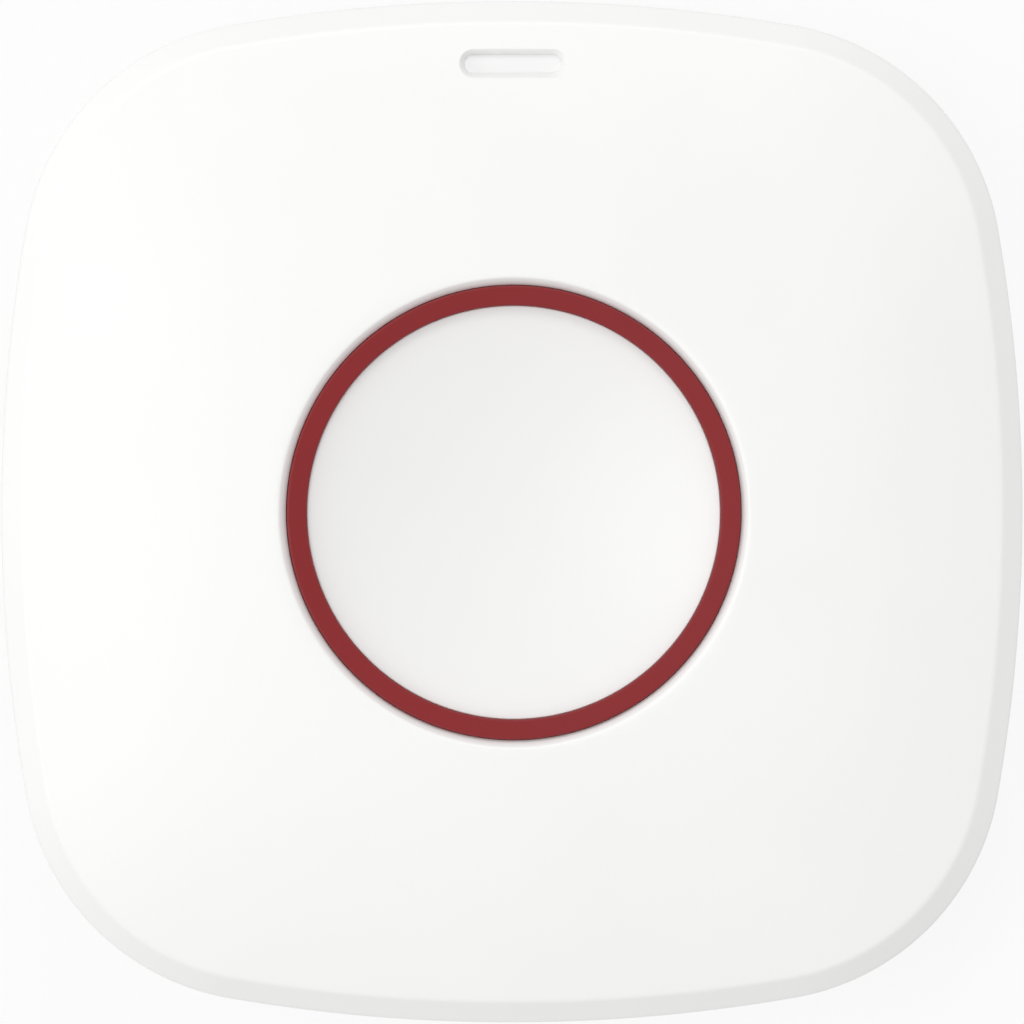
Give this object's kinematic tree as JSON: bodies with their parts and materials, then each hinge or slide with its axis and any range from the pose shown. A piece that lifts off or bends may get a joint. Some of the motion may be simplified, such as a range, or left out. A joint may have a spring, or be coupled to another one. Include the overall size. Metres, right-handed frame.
{
  "type": "wireless panic button",
  "caption": "Palm-size white wireless alarm unit with a rounded square case, a dished push button in a red ring and a slot for an indicator lamp.",
  "frame": {"origin": "middle of the rear face, which lies on the surface", "axes": "+Z along the push button's axis, out of its face; +Y from the push button to the indicator window; +X to the right as the picture shows the unit"},
  "size_m": [0.062, 0.062, 0.0163],
  "materials": {
    "white_housing": "fine satin moulding",
    "white_cap": "fine satin moulding",
    "red_ring": "satin, dark red",
    "clear_window": "milky clear",
    "carrier_plastic": "as moulded",
    "seal_rubber": "matt",
    "membrane_silicone": "matt, translucent grey",
    "board_laminate": "green solder mask",
    "black_moulding": "as moulded",
    "steel_plate": "tinned or bright sheet",
    "screw_steel": "zinc plated",
    "cell_steel": "drawn and polished",
    "contact_alloy": "spring alloy, bright",
    "chip_ceramic": "fired ceramic",
    "lamp_resin": "clear resin"
  },
  "bodies": {
    "housing": {"front_cover": "white_housing", "rear_case": "white_housing", "housing_seal": "seal_rubber", "indicator_window": "clear_window", "coin_cell": "cell_steel", "battery_holder": "black_moulding", "positive_contact": "contact_alloy", "negative_contact": "contact_alloy", "circuit_board": "board_laminate", "case_screws": "screw_steel", "board_screws": "screw_steel", "switch_base": "black_moulding", "switch_frame": "steel_plate", "button_membrane": "membrane_silicone", "radio_shield": "steel_plate", "controller_chip": "black_moulding", "crystal": "steel_plate", "chip_passives": "chip_ceramic", "antenna": "contact_alloy", "indicator_lamp": "lamp_resin"},
    "push_button": {"button_carrier": "carrier_plastic", "button_ring": "red_ring", "button_cap": "white_cap"},
    "plunger": {"switch_plunger": "black_moulding"},
    "door": {"battery_door": "white_housing", "door_seal": "seal_rubber"}
  },
  "joints": [
    {"name": "button_press", "type": "slide", "parent": "housing", "child": "push_button", "axis": [0, 0, -1], "range_m": [0, 0.0005], "stiffness_N_per_m": 6000, "springref_m": -0.0003, "deforming": ["button_membrane"]},
    {"name": "plunger_press", "type": "slide", "parent": "housing", "child": "plunger", "axis": [0, 0, -1], "range_m": [0, 0.0005]},
    {"name": "door_turn", "type": "hinge", "parent": "housing", "child": "door", "pos_m": [0, 0, 0.002], "axis": [0, 0, 1], "range_deg": [0, 45]}
  ],
  "couplings": [
    {"joint": "plunger_press", "follows": "button_press", "ratio": 1}
  ]
}
